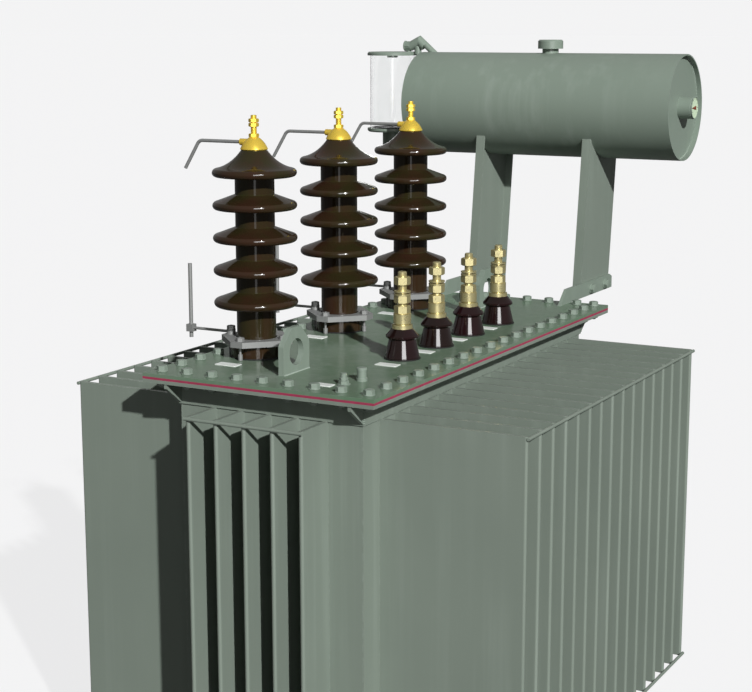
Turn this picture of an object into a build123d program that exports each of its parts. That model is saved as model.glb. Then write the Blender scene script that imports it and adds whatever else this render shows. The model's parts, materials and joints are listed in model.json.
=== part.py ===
from build123d import *
import math
import os

# Oil filled three phase transformer with a finned tank, in millimetres.
# +X points at the conservator, +Y at the high voltage side, and z = 0 is the floor.
# The origin is the middle of the four anchor holes in the two skids.

# Tank and its folded walls
tank_length = 913.0
tank_width = 348.0
wall_sheet = 2.0
wall_foot = 34.0
fin_height = 627.0
fin_width = 8.0
fin_pitch = 53.1
side_fin_count = 16
side_fin_depth = 258.0
end_fin_count = 5
end_fin_depth = 81.0
bottom_thickness = 6.0
tie_rod_diameter = 6.0
tie_rod_seat = 1.0
tie_rod_overhang = 1.0

# Skids
skid_height = 80.0
skid_flange = 50.0
skid_thickness = 6.0
skid_length = 800.0
skid_spacing = 250.0
drill_margin = 1.0
anchor_spacing = 640.0
anchor_hole_diameter = 18.0

# Rim, gasket and cover
collar_height = 40.0
collar_thickness = 3.0
wall_lap = 12.0
flange_overhang_x = 43.0
flange_overhang_y = 41.5
flange_thickness = 6.0
gasket_thickness = 4.0
cover_thickness = 6.0
gusset_thickness = 6.0
gusset_nose = 8.0
gusset_edge_gap = 2.0

# High voltage bushings
hv_pitch = 290.0
hv_y = 129.0
shed_count = 5
shed_pitch = 55.9
shed_radius = 72.5
shed_rise = 20.5
shed_rim_rise = 8.0
shed_rim_drop = 6.0
shed_rim_depth = 6.0
shed_underside_lift = 3.0
shed_root_depth = 1.0
hv_body_radius = 34.0
hv_base_radius = 45.0
hv_base_height = 24.0
hv_first_shed = 94.0
hv_neck_radius = 22.0
hv_neck_height = 39.5
hv_bore_radius = 12.0
hv_spigot_radius = 30.0
spigot_depth = 30.0
spigot_clearance = 2.0
ring_thickness = 10.0
ring_reach = 65.0
ring_tip = 12.0
ring_clearance = 1.5
clamp_hole_radius = 5.0
hat_hollow_radius = 40.0
hat_hollow_rise = 14.0
hv_dome_radius = 23.8
hv_dome_height = 21.3
hv_dome_lip = 1.3
hv_dome_bulge = 2.6
hv_stud_radius = 5.0
hv_nut_width = 15.5
hv_nut_height = 7.3
hv_nut_groove = 0.8
hv_lock_nut_height = 6.1
hv_nut_lift = 11.5
hv_stud_top = 5.0

# Every hexagon nut, with its corners turned off
nut_face_share = 0.95
nut_reach_share = 0.6
nut_bevel_angle = 30.0

# Arcing horns
horn_radius = 3.0
horn_lift = 12.5
horn_reach = 112.0
horn_drop = 49.0
horn_run_out = 30.2
horn_bend = 12.0
boss_radius = 5.8
boss_reach = 27.0
lower_horn_reach = 137.5
lower_horn_low = 21.0
lower_horn_height = 132.0
lower_horn_radius = 3.5
lower_arm_radius = 2.5
lower_arm_lift = 4.0
clamp_bolt_radius = 53.0
eye_radius = 8.0
eye_cover = 2.0
horn_block = 13.0

# Low voltage bushings
lv_pitch = 132.3
lv_shift = 6.5
lv_y = 105.0
lv_base_radius = 30.5
lv_base_lip = 4.0
lv_waist_radius = 23.0
lv_waist_height = 34.0
lv_flare_radius = 28.6
lv_flare_height = 41.0
lv_flare_rim = 3.0
lv_top_radius = 18.5
lv_height = 53.0
lv_bore_radius = 11.0
lv_spigot_radius = 19.0
lv_collar_radius = 17.7
lv_collar_height = 6.5
lv_groove_radius = 12.0
lv_groove_height = 2.5
lv_barrel_radius = 15.3
lv_barrel_height = 16.9
lv_stud_radius = 7.5
lv_nut_width = 25.0
lv_nut_height = 14.0
lv_nut_gap = 4.0
lv_washer_radius = 14.5
lv_washer_height = 2.4
lv_washer_gap = 2.4
lv_stud_run = 10.5
lv_stud_top = 9.0
lv_stud_edge = 1.5

# Fittings on the cover
lug_offset = 378.0
lug_width = 82.0
lug_height = 76.5
lug_thickness = 10.0
lug_corner = 27.0
lug_corner_round = 8.0
lug_hole_radius = 22.5
lug_hole_height = 34.5
earth_x = -427.0
earth_y = -122.5
earth_stud_radius = 5.0
earth_nut_width = 15.0
earth_nut_height = 7.0
earth_lock_nut_width = 12.8
earth_lock_nut_height = 4.9
earth_height = 19.0
pocket_x = -388.0
pocket_y = -134.0
pocket_radius = 7.5
pocket_height = 21.0
pocket_cap_radius = 9.0
pocket_cap_height = 5.0

# Conservator
conservator_x = 696.0
conservator_lift = 395.0
conservator_radius = 110.5
conservator_length = 611.0
conservator_sheet = 3.0
end_plate_thickness = 4.0
end_plate_recess = 11.0
gauge_radius = 23.0
gauge_proud = 19.0
gauge_edge = 2.0
filler_neck_radius = 17.5
filler_neck_height = 9.0
filler_cap_radius = 27.0
filler_cap_height = 19.0
filler_cap_edge = 3.0

# Supports of the conservator
support_spacing = 263.6
upright_near_foot = 567.0
upright_width = 160.0
upright_lean = 48.0
upright_flange = 19.0
upright_sheet = 4.0
upright_clearance = 2.0
bracket_thickness = 6.0
bracket_near = 441.0
bracket_slope = 34.0
bracket_far = 736.0
bracket_height = 30.0
bracket_corner = 6.0
bracket_bolt_radius = 6.5
bracket_bolt_inset = 45.0
bracket_bolt_spacing = 80.0
bracket_bolt_lift = 13.0

# Breather beside the conservator's end
breather_gap = 24.0
breather_disc_radius = 56.5
breather_disc_thickness = 8.0
breather_glass_radius = 50.0
breather_glass_wall = 4.0
breather_glass_height = 163.0
breather_disc_bevel = 3.0
drain_radius = 22.0
drain_length = 50.0
neck_axis_lift = 13.0
neck_foot_inset = 21.0
neck_foot_radius = 5.5
neck_nut_width = 20.0
neck_nut_length = 12.5
neck_collar_radius = 11.5
neck_collar_length = 2.5
neck_elbow_radius = 10.5
neck_crest_reach = 33.5
neck_crest_lift = 23.5
neck_shoulder_reach = 46.5
neck_shoulder_lift = 12.2
neck_pipe_radius = 7.0
neck_pipe_lift = 28.7
neck_landing_reach = 73.9
neck_landing_depth = 5.6
neck_boss_radius = 8.0
neck_boss_reach = 29.5
neck_boss_depth = 5.0

# Levels worked out from the sizes above
bottom_z = skid_height
wall_z = bottom_z + bottom_thickness
fin_z = wall_z + wall_foot
collar_z = fin_z + fin_height
flange_z = collar_z + collar_height
gasket_z = flange_z + flange_thickness
cover_z = gasket_z + gasket_thickness
deck_z = cover_z + cover_thickness
hv_cap_z = deck_z + hv_first_shed + (shed_count - 1) * shed_pitch + hv_neck_height
conservator_z = deck_z + conservator_lift
conservator_top = conservator_z + conservator_radius
breather_top = conservator_top
glass_z = breather_top - breather_disc_thickness - breather_glass_height

# Plan sizes worked out from the sizes above
collar_length = tank_length + 2 * collar_thickness
collar_width = tank_width + 2 * collar_thickness
cover_length = collar_length + 2 * flange_overhang_x
cover_width = collar_width + 2 * flange_overhang_y
hv_places = [hv_pitch * i for i in (-1, 0, 1)]
lv_places = [lv_shift + lv_pitch * (i - 1.5) for i in range(4)]
breather_y = conservator_length / 2 + breather_gap + breather_disc_radius


def block(x0, x1, y0, y1, z0, z1):
    """A straight block between two opposite corners."""
    return Pos((x0 + x1) / 2, (y0 + y1) / 2, (z0 + z1) / 2) * Box(x1 - x0, y1 - y0, z1 - z0)


def drum(radius, z0, z1, x=0.0, y=0.0):
    """An upright cylinder between two levels."""
    return Pos(x, y, (z0 + z1) / 2) * Cylinder(radius, z1 - z0)


def frame_of_plate(length, width, inner_length, inner_width, z0, thickness):
    """A flat rectangular frame, such as a gasket."""
    outline = Rectangle(length, width) - Rectangle(inner_length, inner_width)
    return Pos(0, 0, z0) * extrude(outline, thickness)


def upright_plate(points, thickness, y):
    """A plate that stands along X. The points are (x, z), and y is its middle."""
    outline = make_face(Polyline(*[(px, pz) for px, pz in points], close=True))
    return Pos(0, y + thickness / 2, 0) * Rot(90, 0, 0) * extrude(outline, thickness)


def turned(points):
    """A solid turned about Z from a closed outline of (radius, z) points."""
    outline = make_face(Polyline(*[(r, 0, z) for r, z in points], close=True))
    return revolve(outline, Axis.Z)


def hex_nut(width, z0, height):
    """A hexagon nut on the Z axis, one flat towards -Y, whose corners are turned off at both faces."""
    blank = Pos(0, 0, z0) * extrude(RegularPolygon(width / 2, 6, major_radius=False), height)
    face = width / 2 * nut_face_share
    reach = width * nut_reach_share
    bevel = (reach - face) * math.tan(math.radians(nut_bevel_angle))
    z1 = z0 + height
    return blank & turned([(0, z0), (face, z0), (reach, z0 + bevel), (reach, z1 - bevel), (face, z1), (0, z1)])


def tie_rod_y(depth):
    """Distance from the wall to the middle of a rod that is seated in the fin tips."""
    return depth + tie_rod_diameter / 2 - tie_rod_seat


def tie_rods(count, depth):
    """The upper and the lower rod of one wall, whose outer face is y = 0."""
    length = (count - 1) * fin_pitch + fin_width + 2 * tie_rod_overhang
    levels = (tie_rod_diameter / 2, fin_height - tie_rod_diameter / 2)
    rod = Rot(0, 90, 0) * Cylinder(tie_rod_diameter / 2, length)
    return [Pos(0, -tie_rod_y(depth), fin_z + z) * rod for z in levels]


def fin_outline(depth, width, wall):
    """One fin seen from above, from the wall's inner face to its round tip."""
    straight = depth - width / 2
    leaf = Pos(0, (wall - straight) / 2) * Rectangle(width, straight + wall)
    return leaf + Pos(0, -straight) * Circle(width / 2)


def finned_wall(length, count, depth):
    """A folded wall with hollow fins. Its outer face is y = 0, and its fins point to -Y."""
    places = [fin_pitch * (i - (count - 1) / 2) for i in range(count)]
    channel_width = fin_width - 2 * wall_sheet
    sheet = block(-length / 2, length / 2, 0, wall_sheet, wall_z, collar_z + wall_lap)
    leaf = extrude(fin_outline(depth, fin_width, wall_sheet), fin_height)
    channel = extrude(fin_outline(depth - wall_sheet, channel_width, wall_sheet), fin_height - 2 * wall_sheet)
    wall = sheet + [Pos(x, 0, fin_z) * leaf for x in places]
    wall = wall - [Pos(x, 0, fin_z + wall_sheet) * channel for x in places]
    return wall - tie_rods(count, depth)


def wall_frames():
    """Where each wall stands: name, turn, distance from the middle, length, fins and their depth."""
    end_length = tank_width - 2 * wall_sheet
    sides = (side_fin_count, side_fin_depth)
    ends = (end_fin_count, end_fin_depth)
    return [
        ("lv_fin_wall", 0, tank_width / 2, tank_length, *sides),
        ("hv_fin_wall", 180, tank_width / 2, tank_length, *sides),
        ("near_fin_wall", -90, tank_length / 2, end_length, *ends),
        ("far_fin_wall", 90, tank_length / 2, end_length, *ends),
    ]


def skid(side):
    """A channel with its back to the middle and two anchor holes in its lower flange."""
    inner = skid_spacing / 2 - skid_flange / 2
    outer = skid_spacing / 2 + skid_flange / 2
    half = skid_length / 2
    channel = block(-half, half, inner, outer, 0, skid_height)
    web = inner + skid_thickness
    channel -= block(-half, half, web, outer, skid_thickness, skid_height - skid_thickness)
    for x in (-anchor_spacing / 2, anchor_spacing / 2):
        channel -= drum(anchor_hole_diameter / 2, -drill_margin, skid_thickness + drill_margin, x, skid_spacing / 2)
    return channel if side > 0 else mirror(channel, Plane.XZ)


def tank_rim():
    """The collar band round the top of the walls, with the flange that the cover is bolted to."""
    collar = frame_of_plate(collar_length, collar_width, tank_length, tank_width, collar_z, collar_height)
    flange = frame_of_plate(cover_length, cover_width, tank_length, tank_width, flange_z, flange_thickness)
    return collar + flange


def gussets():
    """Four triangular plates that hold the flange up at the corners of the short ends."""
    root = collar_length / 2
    reach = cover_length / 2 - gusset_edge_gap
    foot_z = collar_z + gusset_edge_gap
    points = [(root, flange_z), (reach, flange_z), (reach, flange_z - gusset_nose), (root, foot_z)]
    y = collar_width / 2 - gusset_thickness / 2
    plate = upright_plate(points, gusset_thickness, y)
    pair = [plate, mirror(plate, Plane.XZ)]
    return pair + [mirror(p, Plane.YZ) for p in pair]


def tank_cover():
    """The cover plate with a round opening under each bushing."""
    cover = block(-cover_length / 2, cover_length / 2, -cover_width / 2, cover_width / 2, cover_z, deck_z)
    for x in hv_places:
        cover -= drum(hv_spigot_radius + spigot_clearance, cover_z, deck_z, x, hv_y)
    for x in lv_places:
        cover -= drum(lv_spigot_radius + spigot_clearance, cover_z, deck_z, x, -lv_y)
    return cover


def shed_outline(z):
    """One porcelain shed, widest at the level z, as a closed outline in the XZ plane."""
    root = hv_body_radius - shed_root_depth
    edge = shed_radius - shed_rim_depth
    top = Line((root, 0, z + shed_rise), (edge, 0, z + shed_rim_rise))
    rim = ThreePointArc((edge, 0, z + shed_rim_rise), (shed_radius, 0, z), (edge, 0, z - shed_rim_drop))
    under = Line((edge, 0, z - shed_rim_drop), (root, 0, z - shed_underside_lift))
    back = Line((root, 0, z - shed_underside_lift), (root, 0, z + shed_rise))
    return make_face([top, rim, under, back])


def hat_outline(z):
    """The top shed, which sweeps up in a hollow curve to the narrow neck under the cap."""
    edge = shed_radius - shed_rim_depth
    neck = (hv_neck_radius, 0, z + hv_neck_height)
    sweep = Bezier(neck, (hat_hollow_radius, 0, z + hat_hollow_rise), (edge, 0, z + shed_rim_rise))
    rim = ThreePointArc((edge, 0, z + shed_rim_rise), (shed_radius, 0, z), (edge, 0, z - shed_rim_drop))
    under = Line((edge, 0, z - shed_rim_drop), (0, 0, z - shed_underside_lift))
    back = Line((0, 0, z - shed_underside_lift), (0, 0, z + hv_neck_height))
    top = Line((0, 0, z + hv_neck_height), neck)
    return make_face([sweep, rim, under, back, top])


def hv_porcelain():
    """A tall porcelain insulator on the Z axis, with its base on the cover."""
    first = deck_z + hv_first_shed
    last = first + (shed_count - 1) * shed_pitch
    body = drum(hv_base_radius, deck_z, deck_z + hv_base_height)
    body += drum(hv_body_radius, deck_z, last)
    body += drum(hv_spigot_radius, deck_z - spigot_depth, deck_z)
    for i in range(shed_count - 1):
        body += revolve(shed_outline(first + i * shed_pitch), Axis.Z)
    body += revolve(hat_outline(last), Axis.Z)
    return body - drum(hv_bore_radius, deck_z - spigot_depth, last + hv_neck_height)


def hv_clamp_ring():
    """An eight sided ring that presses the foot of the porcelain down, with four bolt holes."""
    r, t = ring_reach, ring_tip
    corners = [(r, -t), (r, t), (t, r), (-t, r), (-r, t), (-r, -t), (-t, -r), (t, -r)]
    outline = make_face(Polyline(*corners, close=True)) - Circle(hv_body_radius + ring_clearance)
    outline -= PolarLocations(clamp_bolt_radius, 4) * Circle(clamp_hole_radius)
    return Pos(0, 0, deck_z + hv_base_height) * extrude(outline, ring_thickness)


def hv_terminal():
    """The domed cap with its side boss, and the stud with three nuts."""
    crown = hv_cap_z + hv_dome_height
    brim = hv_cap_z + hv_dome_lip
    half = hv_nut_width / 2
    lean = (hv_dome_radius + half) / 2 + hv_dome_bulge
    dome = make_face([
        Line((0, 0, hv_cap_z), (hv_dome_radius - hv_dome_lip, 0, hv_cap_z)),
        Line((hv_dome_radius - hv_dome_lip, 0, hv_cap_z), (hv_dome_radius, 0, brim)),
        ThreePointArc((hv_dome_radius, 0, brim), (lean, 0, (brim + crown) / 2), (half, 0, crown)),
        Line((half, 0, crown), (0, 0, crown)),
        Line((0, 0, crown), (0, 0, hv_cap_z)),
    ])
    cap = revolve(dome, Axis.Z)
    boss = Pos(0, boss_reach / 2, hv_cap_z + horn_lift) * Rot(90, 0, 0) * Cylinder(boss_radius, boss_reach)
    nut_z = crown + hv_lock_nut_height + hv_nut_lift
    stud_z = nut_z + 2 * hv_nut_height + hv_stud_top
    terminal = cap + boss + drum(hv_stud_radius, deck_z - 2 * spigot_depth, stud_z)
    terminal += hex_nut(hv_nut_width, crown, hv_lock_nut_height)
    for i in range(2):
        terminal += hex_nut(hv_nut_width, nut_z + i * hv_nut_height, hv_nut_height - hv_nut_groove)
    return terminal


def upper_horn():
    """The bent rod that starts in the cap's boss and points away from the tank."""
    z = hv_cap_z + horn_lift
    path = FilletPolyline(
        (0, boss_reach, z),
        (0, horn_reach, z),
        (0, horn_reach + horn_run_out, z - horn_drop),
        radius=horn_bend,
    )
    return sweep(Plane((0, boss_reach, z), z_dir=(0, 1, 0)) * Circle(horn_radius), path)


def lower_horn():
    """The upright rod on an arm that is held under one bolt of the clamp ring."""
    ring_z = deck_z + hv_base_height + ring_thickness
    arm_z = ring_z + lower_arm_lift
    foot_z = deck_z + lower_horn_low
    eye = drum(eye_radius, ring_z, arm_z + lower_arm_radius + eye_cover, 0, clamp_bolt_radius)
    arm_length = lower_horn_reach - clamp_bolt_radius
    arm = Rot(90, 0, 0) * Cylinder(lower_arm_radius, arm_length)
    arm = Pos(0, clamp_bolt_radius + arm_length / 2, arm_z) * arm
    grip = Pos(0, lower_horn_reach, arm_z) * Box(horn_block, horn_block, horn_block)
    rod = drum(lower_horn_radius, foot_z, foot_z + lower_horn_height, 0, lower_horn_reach)
    return eye + arm + grip + rod


def lv_porcelain():
    """A short flared insulator on the Z axis, with its foot on the cover."""
    z = deck_z
    return turned([
        (lv_bore_radius, z - spigot_depth),
        (lv_spigot_radius, z - spigot_depth),
        (lv_spigot_radius, z),
        (lv_base_radius, z),
        (lv_base_radius, z + lv_base_lip),
        (lv_waist_radius, z + lv_waist_height),
        (lv_flare_radius, z + lv_flare_height - lv_flare_rim),
        (lv_flare_radius, z + lv_flare_height),
        (lv_top_radius, z + lv_height),
        (lv_bore_radius, z + lv_height),
    ])


def lv_terminal():
    """The stepped brass stud of a low voltage bushing, with three nuts and two washers."""
    z = deck_z + lv_height
    terminal = drum(lv_stud_radius, deck_z - 2 * spigot_depth, z)
    for radius, height in (
        (lv_collar_radius, lv_collar_height),
        (lv_groove_radius, lv_groove_height),
        (lv_barrel_radius, lv_barrel_height),
    ):
        terminal += drum(radius, z, z + height)
        z += height
    low_nut = z
    middle_nut = low_nut + lv_nut_height + lv_nut_gap
    low_washer = middle_nut + lv_nut_height
    high_washer = low_washer + lv_washer_height + lv_washer_gap
    top_nut = high_washer + lv_washer_height + lv_stud_run
    top = top_nut + lv_nut_height + lv_stud_top
    stud = drum(lv_stud_radius, z, top)
    terminal += chamfer(stud.edges().group_by(Axis.Z)[-1], lv_stud_edge)
    for level in (low_nut, middle_nut, top_nut):
        terminal += hex_nut(lv_nut_width, level, lv_nut_height)
    for level in (low_washer, high_washer):
        terminal += drum(lv_washer_radius, level, level + lv_washer_height)
    return terminal


def lifting_lug():
    """A plate with cut corners and a hole for the lifting shackle, at the near end."""
    outline = Pos(0, lug_height / 2) * Rectangle(lug_width, lug_height)
    outline = chamfer(outline.vertices().group_by(Axis.Y)[-1], lug_corner)
    shoulders = outline.vertices().filter_by(lambda v: v.Y > drill_margin)
    outline = fillet(shoulders, lug_corner_round)
    outline -= Pos(0, lug_hole_height) * Circle(lug_hole_radius)
    return Pos(-lug_offset, lug_thickness / 2, deck_z) * Rot(90, 0, 0) * extrude(outline, lug_thickness)


def earth_terminal():
    """The earth stud on the cover, with two nuts."""
    stud = drum(earth_stud_radius, deck_z, deck_z + earth_height)
    nuts = hex_nut(earth_nut_width, deck_z, earth_nut_height)
    nuts += hex_nut(earth_lock_nut_width, deck_z + earth_nut_height, earth_lock_nut_height)
    return Pos(earth_x, earth_y, 0) * (stud + nuts)


def thermometer_pocket():
    """The capped tube for a thermometer."""
    tube = drum(pocket_radius, deck_z, deck_z + pocket_height)
    cap = drum(pocket_cap_radius, deck_z, deck_z + pocket_cap_height)
    return Pos(pocket_x, pocket_y, 0) * (tube + cap)


def lying_drum(radius, y0, y1):
    """A cylinder on the conservator's axis between two places along Y."""
    return Pos(conservator_x, (y0 + y1) / 2, conservator_z) * Rot(90, 0, 0) * Cylinder(radius, y1 - y0)


def conservator_shell():
    """The rolled drum, open at both ends."""
    half = conservator_length / 2
    inner = conservator_radius - conservator_sheet
    return lying_drum(conservator_radius, -half, half) - lying_drum(inner, -half, half)


def end_plates():
    """The two flat ends, set a little way into the drum."""
    outer = conservator_length / 2 - end_plate_recess
    plate = lying_drum(conservator_radius - conservator_sheet, outer - end_plate_thickness, outer)
    return [plate, mirror(plate, Plane.XZ)]


def level_gauge():
    """The round oil level gauge in the middle of the end plate on the low voltage side."""
    face = conservator_length / 2 + gauge_proud
    seat = conservator_length / 2 - end_plate_recess
    gauge = lying_drum(gauge_radius, -face, -seat)
    return chamfer(gauge.edges().group_by(Axis.Y)[0], gauge_edge)


def filler_cap():
    """The neck on top of the drum with its screw cap."""
    cap_z = conservator_top + filler_neck_height
    neck = drum(filler_neck_radius, conservator_z, cap_z, conservator_x)
    neck -= lying_drum(conservator_radius, -filler_cap_radius, filler_cap_radius)
    cap = drum(filler_cap_radius, cap_z, cap_z + filler_cap_height, conservator_x)
    cap = chamfer(cap.edges().group_by(Axis.Z)[-1], filler_cap_edge)
    return neck + cap


def upright(side):
    """A leaning channel whose top is cut to the drum it carries. Its back faces away from the middle."""
    foot = deck_z + upright_clearance
    outer = support_spacing / 2
    near, far = upright_near_foot, upright_near_foot + upright_width
    lean, sheet = upright_lean, upright_sheet
    outline = [(near, foot), (far, foot), (far + lean, conservator_z), (near + lean, conservator_z)]
    hollow = [(near + sheet, foot), (far - sheet, foot),
              (far + lean - sheet, conservator_z), (near + lean + sheet, conservator_z)]
    channel = upright_plate(outline, upright_flange, outer - upright_flange / 2)
    channel -= upright_plate(hollow, upright_flange - sheet, outer - sheet - (upright_flange - sheet) / 2)
    channel -= lying_drum(conservator_radius, 0, outer + drill_margin)
    channel -= bracket_bolt_holes()
    return channel if side > 0 else mirror(channel, Plane.XZ)


def bracket_bolt_holes():
    """The two bolts that pass through the bracket and the back of the upright."""
    places = [upright_near_foot + bracket_bolt_inset + i * bracket_bolt_spacing for i in range(2)]
    y = support_spacing / 2
    drill = Rot(90, 0, 0) * Cylinder(bracket_bolt_radius, 4 * bracket_thickness)
    return [Pos(x, y, deck_z + bracket_bolt_lift) * drill for x in places]


def support_bracket():
    """The flat arm that stands on the cover and reaches past its end, outside the upright."""
    top = deck_z + bracket_height
    points = [
        (bracket_near, deck_z),
        (bracket_far, deck_z),
        (bracket_far, top - bracket_corner),
        (bracket_far - 2 * bracket_corner, top),
        (bracket_near + bracket_slope, top),
    ]
    y = support_spacing / 2 + bracket_thickness / 2
    return upright_plate(points, bracket_thickness, y) - bracket_bolt_holes()


def breather_glass():
    """The clear cylinder that holds the drying agent."""
    top = glass_z + breather_glass_height
    outer = drum(breather_glass_radius, glass_z, top, conservator_x, breather_y)
    return outer - drum(breather_glass_radius - breather_glass_wall, glass_z, top, conservator_x, breather_y)


def breather_fittings():
    """The bevelled end discs of the breather, and the drain neck below."""
    top = drum(breather_disc_radius, breather_top - breather_disc_thickness, breather_top)
    top = chamfer(top.edges().group_by(Axis.Z)[-1], breather_disc_bevel)
    low = drum(breather_disc_radius, glass_z - breather_disc_thickness, glass_z)
    low = chamfer(low.edges().group_by(Axis.Z)[0], breather_disc_bevel)
    low += drum(drain_radius, glass_z - breather_disc_thickness - drain_length, glass_z - breather_disc_thickness)
    return [Pos(conservator_x, breather_y, 0) * p for p in (top, low)]


def cross_pipe(radius, points):
    """A round bar through (y, z) points in the plane of the drum's axis, with mitred corners."""
    path = Polyline(*[(conservator_x, py, pz) for py, pz in points])
    return sweep(Plane(path @ 0, z_dir=path % 0) * Circle(radius), path, transition=Transition.RIGHT)


def breather_neck():
    """The union over the breather's upper disc and the angular elbow that leads down into the drum."""
    union_y = breather_y - breather_disc_radius + neck_foot_inset
    axis_z = breather_top + neck_axis_lift
    crest_y = union_y - neck_crest_reach
    elbow = cross_pipe(neck_elbow_radius, [
        (union_y, axis_z),
        (union_y - neck_nut_length, axis_z),
        (crest_y, breather_top + neck_crest_lift),
        (union_y - neck_shoulder_reach, breather_top + neck_shoulder_lift),
    ])
    pipe = cross_pipe(neck_pipe_radius, [
        (crest_y, breather_top + neck_pipe_lift),
        (union_y - neck_landing_reach, breather_top - neck_landing_depth),
    ])
    nut = Pos(conservator_x, union_y, axis_z) * Rot(90, 0, 0) * hex_nut(neck_nut_width, 0, neck_nut_length)
    collar = Pos(conservator_x, union_y, axis_z) * Rot(-90, 0, 0) * drum(neck_collar_radius, 0, neck_collar_length)
    foot = drum(neck_foot_radius, breather_top, axis_z, conservator_x, union_y - neck_nut_length / 2)
    boss_y = union_y - neck_boss_reach
    boss = drum(neck_boss_radius, breather_top - neck_boss_depth, axis_z, conservator_x, boss_y)
    neck = elbow + pipe + nut + collar + foot + boss
    return neck - lying_drum(conservator_radius, 0, conservator_length / 2)


def save(node, shapes):
    """Write one node. A node of several pieces is a compound of solids."""
    solids = shapes if isinstance(shapes, list) else [shapes]
    export_step(Compound(children=[s for p in solids for s in p.solids()]), f"parts/{node}.step")


os.makedirs("parts", exist_ok=True)

rods = []
for node, turn, distance, length, count, depth in wall_frames():
    place = Rot(0, 0, turn) * Pos(0, -distance, 0)
    save(node, place * finned_wall(length, count, depth))
    rods += [place * rod for rod in tie_rods(count, depth)]
save("fin_tie_rods", rods)

save("lv_skid", skid(-1))
save("hv_skid", skid(1))
save("tank_bottom", block(-tank_length / 2, tank_length / 2, -tank_width / 2, tank_width / 2, bottom_z, wall_z))
save("tank_rim", tank_rim())
save("rim_gussets", gussets())
gasket = frame_of_plate(cover_length, cover_width, tank_length, tank_width, gasket_z, gasket_thickness)
save("cover_gasket", gasket)
save("tank_cover", tank_cover())

for i, x in enumerate(hv_places, start=1):
    save(f"hv_porcelain_{i}", Pos(x, hv_y, 0) * hv_porcelain())
    save(f"hv_clamp_ring_{i}", Pos(x, hv_y, 0) * hv_clamp_ring())
    save(f"hv_terminal_{i}", Pos(x, hv_y, 0) * hv_terminal())
save("hv_upper_horns", [Pos(x, hv_y, 0) * upper_horn() for x in hv_places])
save("hv_lower_horns", [Pos(x, hv_y, 0) * lower_horn() for x in hv_places])
for i, x in enumerate(lv_places, start=1):
    save(f"lv_porcelain_{i}", Pos(x, -lv_y, 0) * lv_porcelain())
    save(f"lv_terminal_{i}", Pos(x, -lv_y, 0) * lv_terminal())

near_lug = lifting_lug()
save("lifting_lugs", [near_lug, mirror(near_lug, Plane.YZ)])
save("earth_terminal", earth_terminal())
save("thermometer_pocket", thermometer_pocket())

save("conservator_shell", conservator_shell())
save("conservator_end_plates", end_plates())
save("level_gauge", level_gauge())
save("filler_cap", filler_cap())
save("lv_upright", upright(-1))
save("hv_upright", upright(1))
arm = support_bracket()
save("support_brackets", [arm, mirror(arm, Plane.XZ)])
save("breather_glass", breather_glass())
save("breather_fittings", breather_fittings())
save("breather_neck", breather_neck())
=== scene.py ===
# %% [markdown]
# An oil filled power transformer, dressed around its CAD frame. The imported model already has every
# plate, bushing and fin at its real size, so the frame is loaded first and nothing in it is moved.
# What Blender adds is the finish of each surface and the small hardware: bolts, threads, welds,
# bare plates and the face of the oil gauge.

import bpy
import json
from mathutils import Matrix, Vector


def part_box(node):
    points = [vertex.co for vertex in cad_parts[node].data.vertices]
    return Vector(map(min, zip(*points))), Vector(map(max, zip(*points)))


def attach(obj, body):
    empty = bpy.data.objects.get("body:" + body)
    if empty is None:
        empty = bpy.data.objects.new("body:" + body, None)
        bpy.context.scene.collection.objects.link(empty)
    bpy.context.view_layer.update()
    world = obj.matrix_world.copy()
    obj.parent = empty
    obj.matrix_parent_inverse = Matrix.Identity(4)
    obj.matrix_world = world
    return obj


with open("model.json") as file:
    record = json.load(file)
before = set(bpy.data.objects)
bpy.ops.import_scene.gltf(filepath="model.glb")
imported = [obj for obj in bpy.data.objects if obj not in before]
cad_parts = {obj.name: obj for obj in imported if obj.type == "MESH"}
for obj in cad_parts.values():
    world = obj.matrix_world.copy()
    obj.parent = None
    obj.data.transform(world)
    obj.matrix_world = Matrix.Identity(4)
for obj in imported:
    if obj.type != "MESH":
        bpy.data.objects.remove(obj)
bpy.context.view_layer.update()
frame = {"nodes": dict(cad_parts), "record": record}

# %% Tools and units
import json
import math

import bmesh
import bpy
from mathutils import Matrix, Vector

MM = 0.001
scene = bpy.context.scene
nodes = frame["nodes"]
print("one millimetre is", MM, "metres here")

# %% [markdown]
# The camera comes early, because every later choice is judged through it. It stands at the low
# voltage corner, a little above the cover, and looks down by about eleven degrees. A long lens keeps
# the upright edges nearly parallel, as in a product picture.

# %% Camera
IMAGE_WIDTH = 752
FOCAL_PIXELS = 1675.2
SENSOR = 36.0
camera_place = Vector((-2.7066, -1.4206, 1.3694))
heading = math.radians(28.53)
dip = math.radians(10.87)
roll = math.radians(-0.06)

lens = bpy.data.cameras.new("camera")
lens.sensor_fit = "HORIZONTAL"
lens.sensor_width = SENSOR
lens.lens = SENSOR * FOCAL_PIXELS / IMAGE_WIDTH
camera = bpy.data.objects.new("camera", lens)
scene.collection.objects.link(camera)
look = Vector((math.cos(heading) * math.cos(dip), math.sin(heading) * math.cos(dip), -math.sin(dip)))
turn = look.to_track_quat("-Z", "Y").to_matrix().to_4x4()
camera.matrix_world = Matrix.Translation(camera_place) @ turn @ Matrix.Rotation(roll, 4, "Z")
scene.camera = camera
print("lens", round(lens.lens, 1), "mm")

# %% [markdown]
# The studio is a pale floor under a pale sky of the same tone, so no horizon shows behind a machine
# that is seen from above. Sky, floor and finishes are trees of nodes. Setting each socket in full would
# bury the idea, so a few small helpers make the trees readable.

# %% Helpers for node trees
def link(tree, source, target):
    """Joins two sockets of one node tree."""
    tree.links.new(source, target)


def add_node(tree, kind, **settings):
    """A node of a given kind, with its plain settings."""
    node = tree.nodes.new(kind)
    for name, value in settings.items():
        setattr(node, name, value)
    return node


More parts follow.
